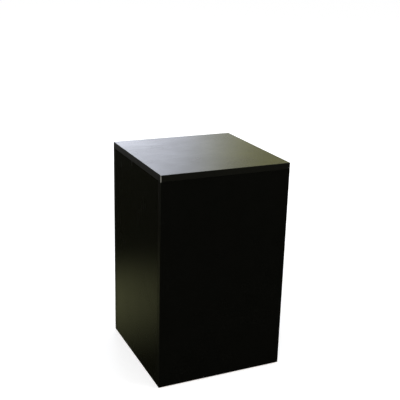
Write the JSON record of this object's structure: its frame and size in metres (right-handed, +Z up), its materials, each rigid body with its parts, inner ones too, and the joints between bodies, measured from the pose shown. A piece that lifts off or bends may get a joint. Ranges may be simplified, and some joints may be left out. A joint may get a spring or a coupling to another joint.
{
  "type": "display pedestal",
  "caption": "Square box pedestal in black laminated board, with a flat overlaid top, an open underside and levelling feet that screw out at the corners.",
  "frame": {"origin": "on the floor under the middle of the box, with the feet screwed right in", "axes": "+Z up, -Y out of the front panel, +X to the right as the front is faced"},
  "size_m": [0.375, 0.375, 0.61],
  "materials": {
    "black_laminate": "black melamine laminate on chipboard, satin with a fine pearl texture",
    "black_edging": "black satin edge banding, slightly paler than the faces",
    "zinc_plated_steel": "bright zinc plating",
    "cast_zinc": "bare die-cast zinc, slightly dull",
    "beech": "bare beech",
    "foot_plastic": "black moulded nylon"
  },
  "bodies": {
    "carcass": {"top_panel": "black_laminate", "front_panel": "black_laminate", "back_panel": "black_laminate", "left_panel": "black_laminate", "right_panel": "black_laminate", "top_band_front": "black_edging", "top_band_back": "black_edging", "top_band_left": "black_edging", "top_band_right": "black_edging", "corner_band_front_left": "black_edging", "corner_band_front_right": "black_edging", "corner_band_back_left": "black_edging", "corner_band_back_right": "black_edging", "bracket_front_left": "zinc_plated_steel", "bracket_front_right": "zinc_plated_steel", "bracket_back_left": "zinc_plated_steel", "bracket_back_right": "zinc_plated_steel", "bracket_nuts": "zinc_plated_steel", "bracket_screws": "zinc_plated_steel", "cam_bolts": "zinc_plated_steel", "cam_locks": "cast_zinc", "dowels": "beech"},
    "foot_front_left": {"foot_pad_front_left": "foot_plastic"},
    "stem_front_left": {"foot_stem_front_left": "zinc_plated_steel"},
    "foot_front_right": {"foot_pad_front_right": "foot_plastic"},
    "stem_front_right": {"foot_stem_front_right": "zinc_plated_steel"},
    "foot_back_left": {"foot_pad_back_left": "foot_plastic"},
    "stem_back_left": {"foot_stem_back_left": "zinc_plated_steel"},
    "foot_back_right": {"foot_pad_back_right": "foot_plastic"},
    "stem_back_right": {"foot_stem_back_right": "zinc_plated_steel"}
  },
  "joints": [
    {"name": "foot_front_left_height", "type": "slide", "parent": "carcass", "child": "foot_front_left", "axis": [0, 0, -1], "range_m": [0, 0.015]},
    {"name": "foot_front_left_turn", "type": "hinge", "parent": "foot_front_left", "child": "stem_front_left", "pos_m": [-0.147, -0.147, 0.02], "axis": [0, 0, -1], "range_deg": [0, 4320]},
    {"name": "foot_front_right_height", "type": "slide", "parent": "carcass", "child": "foot_front_right", "axis": [0, 0, -1], "range_m": [0, 0.015]},
    {"name": "foot_front_right_turn", "type": "hinge", "parent": "foot_front_right", "child": "stem_front_right", "pos_m": [0.147, -0.147, 0.02], "axis": [0, 0, -1], "range_deg": [0, 4320]},
    {"name": "foot_back_left_height", "type": "slide", "parent": "carcass", "child": "foot_back_left", "axis": [0, 0, -1], "range_m": [0, 0.015]},
    {"name": "foot_back_left_turn", "type": "hinge", "parent": "foot_back_left", "child": "stem_back_left", "pos_m": [-0.147, 0.147, 0.02], "axis": [0, 0, -1], "range_deg": [0, 4320]},
    {"name": "foot_back_right_height", "type": "slide", "parent": "carcass", "child": "foot_back_right", "axis": [0, 0, -1], "range_m": [0, 0.015]},
    {"name": "foot_back_right_turn", "type": "hinge", "parent": "foot_back_right", "child": "stem_back_right", "pos_m": [0.147, 0.147, 0.02], "axis": [0, 0, -1], "range_deg": [0, 4320]}
  ],
  "couplings": [
    {"joint": "foot_front_left_height", "follows": "foot_front_left_turn", "m_per_rad": 0.00019894},
    {"joint": "foot_front_right_height", "follows": "foot_front_right_turn", "m_per_rad": 0.00019894},
    {"joint": "foot_back_left_height", "follows": "foot_back_left_turn", "m_per_rad": 0.00019894},
    {"joint": "foot_back_right_height", "follows": "foot_back_right_turn", "m_per_rad": 0.00019894}
  ]
}
